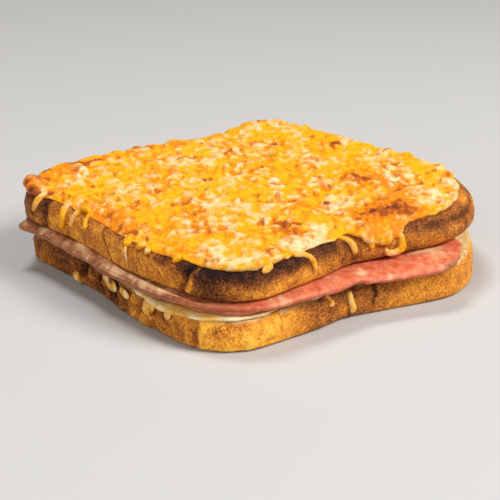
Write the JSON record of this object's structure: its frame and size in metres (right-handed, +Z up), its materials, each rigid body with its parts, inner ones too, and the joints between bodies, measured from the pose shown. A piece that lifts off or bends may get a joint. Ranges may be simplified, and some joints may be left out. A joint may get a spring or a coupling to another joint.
{
  "type": "croque monsieur",
  "caption": "Toasted ham and cheese sandwich: thick slices of tin loaf round ham and a creamy sauce, with browned melted cheese over the top.",
  "frame": {"origin": "under the middle of the whole sandwich, on the surface that it rests on", "axes": "+Z up through the layers, +X from the loaf's flat base crust to its domed crust, -Y the side where the ham hangs out"},
  "size_m": [0.1262, 0.129, 0.0296],
  "materials": {
    "toasted_crust": "matt, toasted crust",
    "cheese_sauce": "satin",
    "cooked_ham": "satin, moist",
    "melted_cheese": "satin, oily"
  },
  "bodies": {
    "root": {"bread_slice_lower": "toasted_crust", "cheese_sauce": "cheese_sauce", "ham_slice_lower": "cooked_ham", "ham_slice_upper": "cooked_ham", "bread_slice_upper": "toasted_crust", "gratin_cheese": "melted_cheese"}
  },
  "joints": []
}
